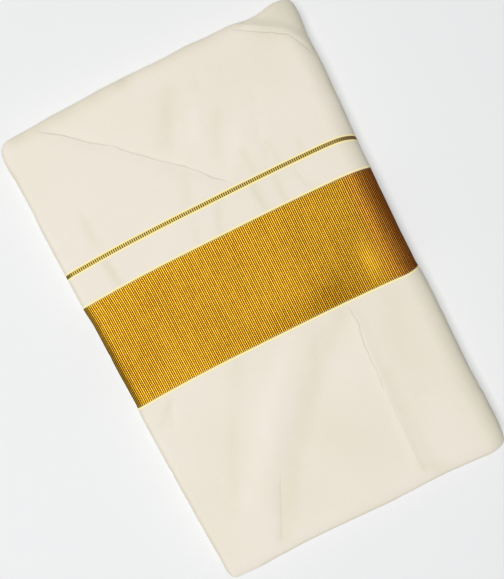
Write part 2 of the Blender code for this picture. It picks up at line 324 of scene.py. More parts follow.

# Uneven tone, with some painted light and shade, in mm: a place on the cloth, the reach across and along
# it, and how much is added. On cotton more is pinker and paler, and on zari it is brighter.
COTTON_TONES_AND_SHADE = (
    (-70, 150, 60, 60, 0.3),
    (60, 165, 60, 50, -0.05),
    (20, -150, 60, 50, -0.5),
    (90, -110, 40, 80, -0.1),
    (-80, -120, 40, 90, -0.15),
    # Painted shade on the upper right corner, which has slipped down beyond its crease
    (120, 212, 18, 14, -2.0),
)
ZARI_TONES_AND_LIGHT = (
    # Painted shade on the band's left part, where the lamp lights it most
    (-100, 10, 34, 60, -0.25),
    # Darker patches
    (50, -10, 16, 60, -0.2),
    (66, -26, 19, 20, -0.5),
    # A painted highlight
    (105, -13, 8, 18, 1.3),
    # Darker patches
    (-50, 42, 40, 22, -0.4),
    (20, -30, 50, 14, -0.25),
    # Painted shade at the left edge and round the spine
    (-144, 10, 8, 80, -0.1),
    (146, 10, 13, 80, -1.15),
    # The thin line's own darker colour
    (0, 96, 900, 7, -1.3),
)

# Soft streaks of painted shade and painted light on the cotton's folds, pulls and edges, in mm: the
# places that each passes through, its half width and how much is added at its middle
COTTON_PAINTED_SHADING = (
    # Painted shade in the tail's hollow and the hollow left of it, and painted light on the swell
    (((59, -46), (23, -71), (-9, -113), (-50, -160), (-80, -208)), 8, -0.75),
    (((6, -43), (-36, -91), (-88, -152), (-94, -160)), 9, 0.45),
    (((-43, -43), (-80, -105), (-112, -164)), 7, -0.4),
    # Painted shade in the pull below the band
    (((-112, -45), (-129, -59)), 4, -0.5),
    # Painted shade beside the pressed ridge, and in the slack by the spine
    (((72, -110), (71, -154), (73, -214)), 5, -0.4),
    (((106, -48), (98, -85), (96, -134)), 12, -0.4),
    # Painted shade at the corner of the lower end
    (((62, -204), (82, -216)), 6, -0.6),
    # Painted shade in the hollows of the head, and painted light on its swells
    (((10, 194), (0, 177), (-14, 160)), 8, -0.5),
    (((-9, 128), (-18, 103)), 5, -0.6),
    (((27, 178), (13, 152)), 7, 0.45),
    (((39, 160), (24, 130)), 6, -0.4),
    (((47, 143), (35, 118)), 6, 0.35),
    # Painted shade in the dimples by the line
    (((-104, 130), (-106, 108)), 5, -0.7),
    (((44, 121), (46, 104)), 4.5, -0.6),
    (((67, 119), (70, 104)), 4, -0.5),
    (((93, 109), (93, 100)), 4, -0.5),
    # Painted shade in the pulls above the band
    (((-106, 91), (-104, 69)), 5, -1.0),
    (((-21, 88), (-25, 69)), 4, -0.35),
    (((5, 88), (-3, 68)), 5, -0.65),
    (((40, 92), (43, 67)), 4.4, -1.0),
    (((63, 89), (61, 68)), 4, -0.6),
    (((80, 89), (86, 68)), 4, -0.55),
    # Painted shade on the spine, along its edge and along the left edge
    (((146, -230), (146, 230)), 15, -1.4),
    (((148, -230), (148, 230)), 6, -1.2),
    (((-146, -230), (-146, 230)), 4.5, -1.9),
    # Painted shade along the upper end, left and right, and along the lower end
    (((-125, 221), (-20, 221)), 7, -1.4),
    (((-20, 222), (90, 223)), 6, -0.9),
    (((-110, -224), (120, -224)), 2.8, -2.2),
)

# Soft random waves: how strong they are, their size in mm and the seed of their draw
Waves = namedtuple("Waves", "strength size seed")
COCKLES = (Waves(0.10, 34, 3), Waves(0.05, 13, 8))
CREASE_WANDER = Waves(0.35, 9, 5)
PRESSED_UNEVENNESS = Waves(0.45, 11, 14)
PRESSED_WANDER = Waves(1.0, 8, 33)
TONE_WAVES = Waves(0.3, 46, 21)
STREAK_WANDER = Waves(0.4, 12, 27)
LOOP_WAVES = Waves(0.16 * MM, 30, 11)
NOISE_CELLS = 64
NOISE_SHIFT = 20
FAR = 1e9

# How the creases and the pressed lines fade out: over a share of their length, and away from them in mm
CREASE_TAPER = 0.25
PRESSED_TAPER = 0.12
PRESSED_REACH = 9.0
PRESSED_FADE = 3

# Threads of the plain cotton 0.35 mm apart are drawn 0.9 mm apart, or they would be too fine to show
COTTON_THREAD = 0.9

# The zari's ribs, 1.6 mm apart, run along the packet, and its crosswise threads lie 0.8 mm apart. They
# are drawn 1.85 mm and 2 mm apart, and the thin line's ribs 2.05 mm, or they would be too fine to show.
RIB_SPACING = 1.85
LINE_RIB_SPACING = 2.05
THREAD_SPACING = 2.0
# Each rib's threads are shifted from the last one's by this share of a thread
RIB_SHIFT = 0.4

# The patterns as repeats in a mm of cloth: slubs 20 to 40 mm long along single threads both ways, and
# streaks of the zari about 2 mm wide and 50 mm long
SLUB_SCALES = ((1.1, 0.03, 1.0), (0.03, 1.1, 1.0))
ZARI_STREAK_SCALE = (0.45, 0.02, 1.0)

# The patterns as repeats in a metre: one layer's tone, about 33 mm long and 1.1 mm high, the painted shade
# where two layers part, about 70 mm long and 1.6 mm high, fuzz about 1.1 mm across, and the floor's grain
# of 2.5 mm
LAYER_TONE_SCALE = (30, 30, 900)
PARTING_SHADE_SCALE = (14, 14, 620)
FUZZ_SCALE = 900.0
FLOOR_GRAIN_SCALE = 400.0

# Pale yellow threads border the zari, a little outside the band's and the line's edges, and the band's
# outermost threads are paler. In mm: half the width of both, and of the part that holds the line.
BAND_BORDER = 0.9 * MM
LINE_BORDER = 0.6 * MM
BORDER_HALF_WIDTH = 0.8
BAND_RIM = 0.6 * MM
RIM_HALF_WIDTH = 0.6
LINE_HALF_WIDTH = 2.0

# Where the layer just below the groove shows its own stretch of the band and the line
GROOVE_LAYER_LOW = 13.3 * MM
GROOVE_LAYER_HIGH = 14.6 * MM
GROOVE_LAYER_REACH = LEFT + 9 * MM

# Round the spine, turned from the light, the zari gets a redder, duller painted shade: the factors on its
# red, green and blue, and in mm round the packet from the lower selvedge the middle of that part, its full
# reach and where it ends
SPINE_SHADE_TINT = (1.08, 0.7, 2.0)
SPINE_SHADE_PLACE = 290
SPINE_SHADE_FULL = 18
SPINE_SHADE_REACH = 50

# How far the bow carries the band towards the lower end at the left selvedge
SELVEDGE_BOW = 2.5 * MM

# Cotton is matt, with a faint sheen
COTTON_SURFACE = {"Roughness": 0.92, "Sheen Weight": 0.08, "Specular IOR Level": 0.25}

# The inputs of the geometry nodes that draw the layered edges
EDGE_INPUTS = (
    ("Geometry", "Geometry"),
    ("Edge depth", "Float"),
    ("Edge height", "Float"),
    ("Unevenness", "Float"),
    ("Wave length", "Float"),
    ("Inwards", "Vector"),
    ("Seed", "Float"),
    ("Cloth", "Material"),
)

# The studio: each lamp's name, direction, distance, size and power. The camera is fitted to the
# photograph, with the focal length in its pixels.
LAMPS = (
    ("overhead_light", (-0.2, 0.02, 1.0), 4.0, 3.2, 179),
    ("window_light", (-1.0, -0.45, 1.0), 2.4, 1.2, 1),
)
FLOOR_LEVEL = -0.0003
FLOOR_REACH = 3
SKY_COLOUR = (0.8, 0.92, 1, 1)
SKY_STRENGTH = 0.07
SENSOR_WIDTH = 36
FOCAL_PIXELS = 517
CLIP_START = 0.01
PHOTO_HEIGHT = 579
CAMERA_PLACE = (0.0056, 0.0422, 0.4880)
CAMERA_TURN = (-0.06942, -0.01651, -0.47067)


def linear_colour(code):
    """An sRGB hex colour as linear red, green and blue."""
    values = [int(code[place : place + 2], 16) / 255 for place in (0, 2, 4)]
    return tuple(v / 12.92 if v <= 0.04045 else ((v + 0.055) / 1.055) ** 2.4 for v in values)


def mixed(low, high, share):
    """The value this share of the way from low to high."""
    return low + (high - low) * share


def smooth(value):
    """A soft step from 0 to 1 as the value goes from 0 to 1."""
    value = np.clip(value, 0.0, 1.0)
    return value * value * (3 - 2 * value)


def read_wave(table, place, column):
    """A column of a wave table, read smoothly at places given in metres."""
    starts = np.array([row[0] for row in table]) * MM
    values = np.array([row[column] for row in table]) * MM
    index = np.clip(np.searchsorted(starts, place) - 1, 0, len(starts) - 2)
    share = smooth((place - starts[index]) / (starts[index + 1] - starts[index]))
    return mixed(values[index], values[index + 1], share)


def soft_noise(across, along, waves):
    """Soft random waves over places in mm, from minus their strength to their strength."""
    table = np.random.RandomState(waves.seed).uniform(-1, 1, (NOISE_CELLS, NOISE_CELLS))
    across = np.asarray(across) / waves.size + NOISE_SHIFT
    along = np.asarray(along) / waves.size + NOISE_SHIFT
    column, row = np.floor(across).astype(int), np.floor(along).astype(int)
    share_x, share_y = smooth(across - column), smooth(along - row)
    left, right = column % NOISE_CELLS, (column + 1) % NOISE_CELLS
    low, high = row % NOISE_CELLS, (row + 1) % NOISE_CELLS
    lower = mixed(table[low, left], table[low, right], share_x)
    upper = mixed(table[high, left], table[high, right], share_x)
    return waves.strength * mixed(lower, upper, share_y)


def line_distance(places, x, y):
    """How far points lie from a line through these places, their side of it, and how far along it."""
    steps = [math.dist(a, b) for a, b in zip(places, places[1:])]
    nearest = np.full(np.shape(x + y), FAR)
    side = np.ones_like(nearest)
    along = np.zeros_like(nearest)
    done = 0.0
    for (start_x, start_y), (end_x, end_y), step in zip(places, places[1:], steps):
        share = ((x - start_x) * (end_x - start_x) + (y - start_y) * (end_y - start_y)) / step**2
        share = np.clip(share, 0.0, 1.0)
        away = np.hypot(x - mixed(start_x, end_x, share), y - mixed(start_y, end_y, share))
        turn = (x - start_x) * (end_y - start_y) - (y - start_y) * (end_x - start_x)
        closer = away < nearest
        nearest = np.where(closer, away, nearest)
        side = np.where(closer, np.where(turn < 0, -1.0, 1.0), side)
        along = np.where(closer, (done + share * step) / sum(steps), along)
        done += step
    return nearest, side, along


def tapered(share, length):
    """Fades a line out towards both its ends, over this share of its length."""
    return smooth(share / length) * smooth((1 - share) / length)


def with_ridges(total, rows, across, along, wander=1.0, taper=None):
    """Adds soft ridges along lines to a total, over places in mm."""
    for places, half_width, amount in rows:
        away, _, share = line_distance(places, across, along)
        fade = tapered(share, taper) if taper else 1.0
        total = total + amount * wander * fade * np.exp(-((away / half_width) ** 2))
    return total


def fold_height(x, y):
    """The height of the broad soft folds, as in the CAD model."""
    return with_ridges(0.0, FOLDS, x / MM, y / MM) * MM


def crease_height(across, along):
    """The height of the creases and of the cloth's light cockle, over places in mm."""
    cockle = sum(soft_noise(across, along, waves) for waves in COCKLES)
    wander = 1 + soft_noise(across, along, CREASE_WANDER)
    return with_ridges(cockle, CREASES, across, along, wander, CREASE_TAPER) * MM


def tone_and_light_at(tones_and_light, shading_streaks, across, along):
    """The uneven tone of the cloth, with its painted light and shade, over places in mm."""
    total = soft_noise(across, along, TONE_WAVES)
    for x, y, reach_x, reach_y, amount in tones_and_light:
        away = ((across - x) / reach_x) ** 2 + ((along - y) / reach_y) ** 2
        total = total + amount * np.exp(-away)
    return with_ridges(total, shading_streaks, across, along, 1 + soft_noise(across, along, STREAK_WANDER))


def pressed_at(across, along):
    """The signed distance in mm to the nearest pressed line, and that line's strength here."""
    place = np.full(np.shape(across + along), PRESSED_REACH)
    strength = np.zeros_like(place)
    unevenness = 1 + soft_noise(across, along, PRESSED_UNEVENNESS)
    waver = soft_noise(across, along, PRESSED_WANDER)
    for places, wander, full_strength in PRESSED_LINES:
        away, side, share = line_distance(places, across, along)
        taper = tapered(share, PRESSED_TAPER) * smooth((PRESSED_REACH - away) / PRESSED_FADE)
        shifted = away * side + wander * waver
        closer = (away < PRESSED_REACH) & (np.abs(shifted) < np.abs(place))
        strength = np.where(closer, full_strength * taper * unevenness, strength)
        place = np.where(closer, shifted, place)
    return place, strength


def end_share(y):
    """How much of the thickness is left beside a short end."""
    beside = np.maximum(1 - (END - np.abs(y)) / END_FALL_LENGTH, 0.0)
    turned = np.maximum(1 - (END - np.abs(y)) / END_TURN_LENGTH, 0.0)
    return 1 - (END_FALL * beside**2 + END_TURN * turned**2) / THICKNESS


def corner_slip(x, y):
    """How far the upper right corner has slipped down."""
    (start_x, start_y), (end_x, end_y) = CORNER_CREASE
    run_x, run_y = end_x - start_x, end_y - start_y
    beyond = (y - start_y) * run_x - (x - start_x) * run_y
    return CORNER_SLIP * smooth(beyond / math.hypot(run_x, run_y) / CORNER_SLIP_WIDTH)


def corner_cut(x, y):
    """How far a rounded corner draws the short end in."""
    total = 0.0
    for side, end, across, along in CORNERS:
        here = (x * side >= 0) & (y * end >= 0)
        into = np.clip(1 - (WIDTH / 2 - np.abs(x)) / across, 0.0, 1.0)
        total = total + here * along * (1 - np.sqrt(1 - into * into))
    return total


def bow_drop(x):
    """How far the weave's crosswise lines have bowed and slanted."""
    total = WEAVE_SLANT * x
    for side, start, reach, drop in BOWS:
        into = np.maximum((x * side - start) / reach, 0.0)
        total = total + drop * into * into
    return total


def spine_draw(x, y):
    """How far the weave is drawn along the packet beside the spine."""
    into = np.maximum((x - SPINE_DRAW_START) / SPINE_DRAW_REACH, 0.0)
    return into * into * read_wave(SPINE_DRAWS, y, 1)


def settled(x, y, z, rise):
    """Points of the even packet, moved to where the real cloth lies, with the top this much higher."""
    x, y, z = np.broadcast_arrays(x, y, z)
    near_end = smooth(1 - (END - np.abs(y)) / CORNER_FADE)
    wave = np.where(y > 0, read_wave(END_WAVES, x, 2), read_wave(END_WAVES, x, 1))
    draw = (wave - corner_cut(x, y)) * near_end
    side = smooth(np.abs(x) / (WIDTH / 2))
    edge = np.where(x > 0, read_wave(EDGE_WAVES, y, 2), read_wave(EDGE_WAVES, y, 1))
    height = z * end_share(y)
    height = height + (rise * (1 - side**6) - corner_slip(x, y)) * smooth(z / THICKNESS)
    new_x = x + np.copysign(1, x) * edge * side + CENTRE_X
    new_y = y + np.copysign(1, y) * draw - bow_drop(x) * (1 - near_end) + spine_draw(x, y) + CENTRE_Y
    return np.stack([new_x, new_y, height], axis=-1)


def spine_point(angle, depth):
    """A point on the spine, from its underside at -90 degrees to its top at 90 degrees."""
    tightness = 1 - depth / MIDDLE
    reach = np.where(angle > 0, SPINE_REACH_ABOVE, SPINE_REACH_BELOW)
    x = RIGHT - depth - reach * tightness * (1 - np.cos(angle))
    return x, MIDDLE + MIDDLE * tightness * np.sin(angle)


def roll_point(angle, depth):
    """A point on the left roll, from its top at 90 degrees round to its underside at 270."""
    tightness = 1 - depth / PASS_THICKNESS
    x = LEFT + depth + ROLL_REACH * tightness * (1 + np.cos(angle))
    return x, THICKNESS - PASS_THICKNESS * (1 - tightness * np.sin(angle))


def even_steps(length, step):
    """Shares from 0 to 1, about this step apart over a length."""
    return np.linspace(0, 1, max(round(length / step), 1) + 1)


def joined(runs):
    """The places across and up of a list of runs, one after the other."""
    return tuple(np.concatenate(places) for places in zip(*runs))


class Section:
    """The outer layer's section, from the lower selvedge round the spine and the roll to the groove."""

    def __init__(self, step):
        self.under = even_steps(UNDER_RUN, UNDER_STEP)[:-1]
        self.spine = mixed(-QUARTER_TURN, QUARTER_TURN, even_steps(SPINE_RUN, SPINE_FINENESS * step))[:-1]
        self.top = even_steps(TOP_RUN, step)[:-1]
        self.roll = mixed(QUARTER_TURN, ROLL_TUCK, even_steps(ROLL_RUN, ROLL_FINENESS * step))[:-1]
        self.groove = even_steps(GROOVE_RUN, GROOVE_STEP)
        parts = (self.under, self.spine, self.top, self.roll, self.groove)
        self.ends = np.cumsum([len(part) for part in parts])
        x, z = self.points(np.zeros(self.ends[-1]))
        self.path = np.concatenate([[0.0], np.cumsum(np.hypot(np.diff(x), np.diff(z)))])
        top_start = self.ends[1]
        self.across = x[top_start] / MM - (self.path - self.path[top_start]) / MM

    def points(self, depth):
        """Where each station lies, at its own depth below the outer face."""
        under, spine, top, roll, groove = np.split(depth, self.ends[:-1])
        low_x = spine_point(np.float64(-QUARTER_TURN), under)[0]
        high_x = spine_point(np.float64(QUARTER_TURN), top)[0]
        roll_x = roll_point(QUARTER_TURN, top)[0]
        tuck_x, tuck_z = roll_point(ROLL_TUCK, groove)
        return joined(
            [
                (mixed(LEFT + SELVEDGE_INSET, low_x, self.under), under),
                spine_point(self.spine, spine),
                (mixed(high_x, roll_x, self.top), THICKNESS - top),
                roll_point(self.roll, roll),
                (tuck_x + GROOVE_RUN * self.groove, tuck_z),
            ]
        )


def end_curl(radius, tuck):
    """Rows that carry the outer layer round its fold at the upper end and back inside."""
    turns = np.linspace(0, math.pi, CURL_STEPS + 1)[1:]
    rows = [(END - radius + radius * math.sin(turn), radius * (1 - math.cos(turn))) for turn in turns]
    return rows + [(END - radius - tuck * share, 2 * radius) for share in TUCK_SHARES]


def stretch_rows(stretch, sizes):
    """The rows of a stretch: each one's place along the packet and its depth in the fold."""
    radius = sizes.end_radius
    low = stretch.start + (radius if stretch.start == -END else 0)
    high = stretch.end - (radius if stretch.end == END else 0)
    rows = [(mixed(low, high, share), 0.0) for share in even_steps(high - low, sizes.step)]
    curl = end_curl(radius, sizes.end_tuck)
    if stretch.start == -END:
        rows = [(-y, depth) for y, depth in reversed(curl)] + rows
    if stretch.end == END:
        rows += curl
    return rows


def place_mesh(name, mesh, material=None):
    """Puts a smooth mesh into the scene as an object at the origin."""
    mesh.shade_smooth()
    if material:
        mesh.materials.append(material)
    obj = bpy.data.objects.new(name, mesh)
    bpy.context.scene.collection.objects.link(obj)
    return obj


def new_object(name, points, faces, material=None, edges=()):
    """An object of the packet from its points and its faces or edges."""
    mesh = bpy.data.meshes.new(name)
    mesh.from_pydata([tuple(point) for point in points], list(edges), faces)
    return place_mesh(name, mesh, material)


def fit_piece(obj, node):
    """Says which body a piece rides on and which CAD node it replaces."""
    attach(obj, "root")
    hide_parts(node)


def lay_stretch(stretch, sizes, tones_and_light, shading_streaks, material):
    """Lays one stretch of the outer layer as thin cloth, with its creases, weave map, tone and painted
    shading.
    """
    section = Section(sizes.step)
    rows = stretch_rows(stretch, sizes)
    count = len(section.across)
    points, maps = [], []
    marks = {"tone_and_painted_light": [], "press_place": [], "press_strength": []}
    for y, depth in rows:
        height = crease_height(section.across, y / MM)
        # The packet rests on its underside, so its creases only go inwards
        under = height[: section.ends[0]]
        under[:] = np.minimum(under, 0) * UNDER_CREASE_SHARE
        x, z = section.points(depth - height)
        points.append(settled(x, y, z, fold_height(x, y)))
        maps.append(np.stack([section.path, np.full(count, y + END)], axis=-1))
        pressed = pressed_at(section.across, y / MM)
        for name, values in zip(marks, (tone_and_light_at(tones_and_light, shading_streaks, section.across, y / MM), *pressed)):
            marks[name].append(values)
    starts = [row * count + column for row in range(len(rows) - 1) for column in range(count - 1)]
    faces = [(corner, corner + count, corner + count + 1, corner + 1) for corner in starts]
    obj = new_object(stretch.name + "_cloth", np.concatenate(points), faces, material)
    mesh = obj.data
    corners = np.empty(len(mesh.loops), dtype=np.int32)
    mesh.loops.foreach_get("vertex_index", corners)
    mesh.uv_layers.new(name="weave").data.foreach_set("uv", np.concatenate(maps)[corners].ravel())
    for name, values in marks.items():
        mesh.attributes.new(name, "FLOAT", "POINT").data.foreach_set("value", np.concatenate(values))
    # The cloth's cut edges stay sharp, or the stretches would look parted where they meet
    ends = np.empty(2 * len(mesh.edges), dtype=np.int32)
    mesh.edges.foreach_get("vertices", ends)
    row, column = np.divmod(ends.reshape(-1, 2), count)
    rims = (row == 0, row == len(rows) - 1, column == 0, column == count - 1)
    sharp = np.any([rim.all(1) for rim in rims], axis=0)
    mesh.attributes.new("sharp_edge", "BOOLEAN", "EDGE").data.foreach_set("value", sharp)
    wall = obj.modifiers.new("cloth_thickness", "SOLIDIFY")
    wall.thickness = sizes.thickness
    wall.offset = -1
    fit_piece(obj, stretch.name)


def layer_line(depth, outermost):
    """The section line of one hidden layer at a depth. The outermost one shows only from the groove on."""
    run = np.linspace(0, 1, RUN_POINTS)
    spine = np.linspace(-QUARTER_TURN, QUARTER_TURN, SPINE_POINTS)
    selvedge = LEFT + SELVEDGE_INSET + LOOP_START
    inner = MIDDLE - depth
    spine_x, spine_z = spine_point(spine, depth)
    roll_x, roll_z = roll_point(np.linspace(QUARTER_TURN, 3 * QUARTER_TURN, ROLL_POINTS), depth)
    inner_x, inner_z = spine_point(spine[::-1], inner)
    runs = [
        (mixed(selvedge, spine_x[0], run), np.full_like(run, depth)),
        (spine_x, spine_z),
        (mixed(spine_x[-1], roll_x[0], run), np.full_like(run, THICKNESS - depth)),
        (roll_x, roll_z),
        (mixed(roll_x[-1], inner_x[0], run), np.full_like(run, MIDDLE + depth)),
        (inner_x, inner_z),
        (mixed(inner_x[-1], selvedge, run), np.full_like(run, inner)),
    ]
    # Each run starts where the one before it ends
    runs[1:] = [(x[1:], z[1:]) for x, z in runs[1:]]
    return joined(runs[4:] if outermost else runs)


def sagged(x, z):
    """The lower passes' edges sag a little below the groove."""
    drop = GROOVE_SAG * z / MIDDLE * smooth((GROOVE_END - x) / (GROOVE_END - LEFT))
    return np.where((z < MIDDLE) & (x < GROOVE_END), z - drop, z)


def set_inputs(node, named, values=()):
    """Sets or links a node's inputs: the values go to those in use, in order, the others by name.

    A node given as a value stands for its first output in use.
    """
    used = [socket for socket in node.inputs if socket.enabled]
    for socket, value in (*zip(used, values), *((node.inputs[name], value) for name, value in named.items())):
        if isinstance(value, bpy.types.Node):
            value = next(output for output in value.outputs if output.enabled)
        if isinstance(value, bpy.types.NodeSocket):
            node.id_data.links.new(value, socket)
        else:
            socket.default_value = value


def add_node(tree, kind, *values, named=None, **settings):
    """Adds a node with its settings and links. A kind without the word Node is a shader node."""
    node = tree.nodes.new(kind if "Node" in kind else "ShaderNode" + kind)
    for name, value in settings.items():
        setattr(node, name, value)
    set_inputs(node, named or {}, values)
    return node


def layered_edge_tree():
    """Geometry nodes that draw a rounded cloth edge along each line, uneven like a hand-folded stack."""
    tree = bpy.data.node_groups.new("layered_edges", "GeometryNodeTree")
    add = partial(add_node, tree)
    tree.interface.new_socket("Geometry", in_out="OUTPUT", socket_type="NodeSocketGeometry")
    for name, kind in EDGE_INPUTS:
        tree.interface.new_socket(name, in_out="INPUT", socket_type="NodeSocket" + kind)
    given = add("NodeGroupInput")
    depth, height = given.outputs["Edge depth"], given.outputs["Edge height"]
    place = add("GeometryNodeInputPosition")
    # Each layer reads the noise far from the next one's
    layer = add("GeometryNodeInputNamedAttribute", "layer", data_type="FLOAT")
    spread = add("Math", layer, NOISE_APART, operation="MULTIPLY")
    scaled = add("VectorMath", place, given.outputs["Wave length"], operation="DIVIDE")
    apart = add("CombineXYZ", 0.0, 0.0, spread)
    moved = add("VectorMath", scaled, apart, operation="ADD")
    noise = add("TexNoise", moved, given.outputs["Seed"], 1.0, 2.0, noise_dimensions="4D")
    amount = add("Math", noise, given.outputs["Unevenness"], operation="MULTIPLY")
    offset = add("VectorMath", given.outputs["Inwards"], amount, operation="SCALE")
    lines = add("GeometryNodeMeshToCurve", given)
    uneven = add("GeometryNodeSetPosition", lines, named={"Offset": offset})
    # The profile is a flat curve with its nose outwards, closed at the back inside the packet
    low = add("Math", height, -1.0, operation="MULTIPLY")
    handle = add("Math", depth, NOSE, operation="MULTIPLY")
    corners = [
        add("CombineXYZ", across, up)
        for across, up in ((depth, height), (handle, height), (handle, low), (depth, low))
    ]
    bead = add("GeometryNodeCurvePrimitiveBezierSegment", NOSE_STEPS, *corners, mode="POSITION")
    closed = add("GeometryNodeSetSplineCyclic", bead, named={"Cyclic": True})
    profile = {"Profile Curve": closed, "Fill Caps": True}
    drawn = add("GeometryNodeCurveToMesh", uneven, named=profile)
    real = add("GeometryNodeRealizeInstances", drawn)
    dressed = add("GeometryNodeSetMaterial", real, named={"Material": given.outputs["Cloth"]})
    add("NodeGroupOutput", dressed)
    return tree


def draw_edges(name, lines, values):
    """Draws layered cloth edges along lines with the geometry nodes, as one plain mesh."""
    values["Cloth"] = bpy.data.materials["folded_cotton_edges"]
    layers, edges, start = [], [], 0
    for number, line in enumerate(lines):
        edges += [(start + step, start + step + 1) for step in range(len(line) - 1)]
        layers += [float(number)] * len(line)
        start += len(line)
    guide = new_object(name + "_guide", np.concatenate(lines), [], edges=edges)
    guide.data.attributes.new("layer", "FLOAT", "POINT").data.foreach_set("value", layers)
    tree = bpy.data.node_groups.get("layered_edges") or layered_edge_tree()
    modifier = guide.modifiers.new("layered_edges", "NODES")
    modifier.node_group = tree
    for item in tree.interface.items_tree:
        if item.in_out == "INPUT" and item.name in values:
            modifier[item.identifier] = values[item.name]
    graph = bpy.context.evaluated_depsgraph_get()
    mesh = bpy.data.meshes.new_from_object(guide.evaluated_get(graph))
    bpy.data.objects.remove(guide, do_unlink=True)
    if not mesh.polygons:
        raise RuntimeError(f"{name}: the geometry nodes made no faces")
    shape = bmesh.new()
    shape.from_mesh(mesh)
    bmesh.ops.recalc_face_normals(shape, faces=shape.faces)
    shape.to_mesh(mesh)
    shape.free()
    mesh.name = name
    fit_piece(place_mesh(name, mesh), "folded_layers")


def new_material(name):
    """A material, its Principled surface, and add_node for its own tree."""
    material = bpy.data.materials.new(name)
    material.use_nodes = True
    tree = material.node_tree
    return material, tree.nodes["Principled BSDF"], partial(add_node, tree)


def weave_places(add):
    """Places on the laid cloth in mm: the whole place, round the packet, and along it."""
    weave = add("UVMap", uv_map="weave")
    place = add("VectorMath", weave, 1 / MM, operation="SCALE")
    return place, *add("SeparateXYZ", place).outputs[:2]


def in_strips(add, along, strips, total=0.0):
    """Adds 1 to a total inside each strip of the weave, given by its middle and half width."""
    for middle, half_width in strips:
        inside = add("Math", along, middle, half_width, operation="COMPARE")
        total = add("Math", inside, total, operation="ADD")
    return total


def cotton_material(colours):
    """Unbleached handloom cotton in plain weave: matt, warm white, with slightly uneven threads."""
    material, surface, add = new_material("handloom_cotton")
    place, across, along = weave_places(add)
    ripples = []
    for socket in (across, along):
        turned = add("Math", socket, 2 * math.pi / COTTON_THREAD, operation="MULTIPLY")
        ripples.append(add("Math", turned, operation="SINE"))
    threads = add("Math", *ripples, operation="MULTIPLY")
    # Slubs run 20 to 40 mm along single threads, both ways
    slubs = []
    for scale in SLUB_SCALES:
        stretched = add("Mapping", place, named={"Scale": scale})
        slubs.append(add("TexNoise", stretched, 1.0, 1.0))
    slub = add("Math", *slubs, operation="ADD")
    # More tone is pinker and paler, and it also carries painted shade and light on folds, pulls and edges
    tone_and_painted_light = add("Attribute", attribute_name="tone_and_painted_light").outputs["Fac"]
    shade = add("Math", tone_and_painted_light, 0.5, 0.5, operation="MULTIPLY_ADD")
    creams = ((*colours.cotton_warm, 1), (*colours.cotton, 1))
    cream = add("Mix", shade, *creams, data_type="RGBA")
    streak = add("MapRange", slub, 0.6, 1.4, 0.985, 1.015)
    lightness = add("Math", tone_and_painted_light, 0.05, streak, operation="MULTIPLY_ADD")
    # A pressed line is a groove or a ridge about 1 mm wide, and a groove gathers a little shade
    press_place = add("Attribute", attribute_name="press_place").outputs["Fac"]
    press_strength = add("Attribute", attribute_name="press_strength").outputs["Fac"]
    away = add("Math", press_place, operation="ABSOLUTE")
    core, slope = [
        add("MapRange", away, 0.1, reach, 1.0, 0.0, interpolation_type="SMOOTHSTEP")
        for reach in (0.9, 1.5)
    ]
    groove = add("Math", press_strength, 0.0, operation="MAXIMUM")
    dip = add("Math", groove, core, operation="MULTIPLY")
    shaded = add("Math", dip, -0.17, lightness, operation="MULTIPLY_ADD")
    streaked = add("VectorMath", cream, shaded, operation="SCALE")
    # A few pale yellow threads border the zari
    band_edges = (BAND_START - BAND_BORDER, BAND_END + BAND_BORDER)
    line_edges = (LINE_START - LINE_BORDER, LINE_END + LINE_BORDER)
    strips = [((edge + END) / MM, BORDER_HALF_WIDTH) for edge in band_edges + line_edges]
    beside = in_strips(add, along, strips)
    edged = add("Mix", beside, streaked, (*colours.edge_thread, 1), data_type="RGBA")
    relief = add("Math", slub, 1.2, threads, operation="MULTIPLY_ADD")
    rough = {"Strength": 0.35, "Distance": 0.08 * MM, "Height": relief}
    bump = add("Bump", named=rough)
    pressed = add("Math", press_strength, slope, operation="MULTIPLY")
    line = {"Strength": 1.0, "Distance": 0.1 * MM, "Height": pressed, "Normal": bump}
    line_bump = add("Bump", named=line, invert=True)
    set_inputs(surface, {"Base Color": edged, "Normal": line_bump, **COTTON_SURFACE})
    return material


def layer_material(colours):
    """The same cotton seen on its folded edges, where each layer keeps its own slight tone."""
    material, surface, add = new_material("folded_cotton_edges")
    place = add("TexCoord").outputs["Object"]
    flat = add("Mapping", place, named={"Scale": LAYER_TONE_SCALE})
    noise = add("TexNoise", flat, 1.0, 2.0)
    creams = ((*colours.cotton_warm, 1), (*colours.cotton, 1))
    cream = add("Mix", noise, *creams, data_type="RGBA")
    # Here and there two layers part, and the gap between them gets painted shade
    thin = add("Mapping", place, named={"Scale": PARTING_SHADE_SCALE})
    parted = add("TexNoise", thin, 1.0, 1.0)
    parting_shade = add("MapRange", parted, 0.4, 0.5, 0.62, 1.0)
    layered = add("VectorMath", cream, parting_shade, operation="SCALE")
    # The layer just below the groove carries the band and the line out to its selvedge
    across, along, up = add("SeparateXYZ", place).outputs
    gates = [
        add("Math", socket, limit, operation=operation)
        for socket, limit, operation in (
            (up, GROOVE_LAYER_LOW, "GREATER_THAN"),
            (across, GROOVE_LAYER_REACH, "LESS_THAN"),
            (up, GROOVE_LAYER_HIGH, "LESS_THAN"),
        )
    ]
    zari = ((BAND_START, BAND_END), (LINE_START, LINE_END))
    strips = [((start + end) / 2 - SELVEDGE_BOW, (end - start) / 2) for start, end in zari]
    woven = in_strips(add, along, strips)
    for gate in gates:
        woven = add("Math", woven, gate, operation="MULTIPLY")
    painted = add("Mix", woven, layered, (*colours.zari, 1), data_type="RGBA")
    fuzz = add("TexNoise", place, FUZZ_SCALE, 2.0)
    bump = add("Bump", named={"Strength": 0.3, "Distance": 0.1 * MM, "Height": fuzz})
    set_inputs(surface, {"Base Color": painted, "Metallic": woven, "Normal": bump, **COTTON_SURFACE})
    return material


